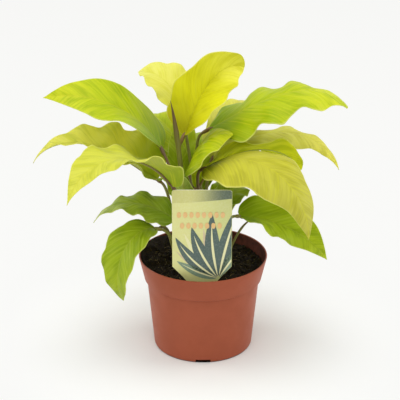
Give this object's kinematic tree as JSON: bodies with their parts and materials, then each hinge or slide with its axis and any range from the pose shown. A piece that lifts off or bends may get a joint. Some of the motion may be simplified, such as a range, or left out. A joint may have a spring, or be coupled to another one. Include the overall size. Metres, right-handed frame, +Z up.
{
  "type": "potted calathea",
  "caption": "Potted calathea: wavy yellow-green leaves on slender stalks above a terracotta-coloured nursery pot of dark soil, with a plain botanical plant label.",
  "frame": {"origin": "middle of the pot's underside, on the surface that it stands on", "axes": "+Z up along the pot's axis, -Y towards the plant label, +X to the right when facing the label"},
  "size_m": [0.2891, 0.2265, 0.286],
  "materials": {
    "pot_plastic": "satin moulded",
    "potting_soil": "loose moist peat",
    "rhizome": "fibrous, soil-covered",
    "label_card": "printed plastic card",
    "leaf_blade": "satin leaf",
    "leaf_stalk": "smooth stalk",
    "young_leaf": "furled young leaf"
  },
  "bodies": {
    "root": {"furled_leaf": "young_leaf", "hooked_shoot": "young_leaf", "leaf_back_left_blade": "leaf_blade", "leaf_back_left_stalk": "leaf_stalk", "leaf_back_mid_blade": "leaf_blade", "leaf_back_mid_stalk": "leaf_stalk", "leaf_back_right_blade": "leaf_blade", "leaf_back_right_stalk": "leaf_stalk", "leaf_centre_blade": "leaf_blade", "leaf_centre_stalk": "leaf_stalk", "leaf_front_fold_blade": "leaf_blade", "leaf_front_fold_stalk": "leaf_stalk", "leaf_inner_left_blade": "leaf_blade", "leaf_inner_left_stalk": "leaf_stalk", "leaf_left_bottom_blade": "leaf_blade", "leaf_left_bottom_stalk": "leaf_stalk", "leaf_left_front_blade": "leaf_blade", "leaf_left_front_stalk": "leaf_stalk", "leaf_left_low_blade": "leaf_blade", "leaf_left_low_stalk": "leaf_stalk", "leaf_left_mid_blade": "leaf_blade", "leaf_left_mid_stalk": "leaf_stalk", "leaf_left_top_blade": "leaf_blade", "leaf_left_top_stalk": "leaf_stalk", "leaf_low_back_left_blade": "leaf_blade", "leaf_low_back_left_stalk": "leaf_stalk", "leaf_low_back_right_blade": "leaf_blade", "leaf_low_back_right_stalk": "leaf_stalk", "leaf_right_back_blade": "leaf_blade", "leaf_right_back_stalk": "leaf_stalk", "leaf_right_front_blade": "leaf_blade", "leaf_right_front_stalk": "leaf_stalk", "leaf_right_inner_blade": "leaf_blade", "leaf_right_inner_stalk": "leaf_stalk", "leaf_right_low_blade": "leaf_blade", "leaf_right_low_stalk": "leaf_stalk", "leaf_right_mid_blade": "leaf_blade", "leaf_right_mid_stalk": "leaf_stalk", "leaf_right_top_blade": "leaf_blade", "leaf_right_top_stalk": "leaf_stalk", "leaf_top_back_blade": "leaf_blade", "leaf_top_back_stalk": "leaf_stalk", "leaf_top_front_blade": "leaf_blade", "leaf_top_front_stalk": "leaf_stalk", "plant_label": "label_card", "pot": "pot_plastic", "rhizome": "rhizome", "right_shoot": "young_leaf", "soil": "potting_soil"}
  },
  "joints": []
}
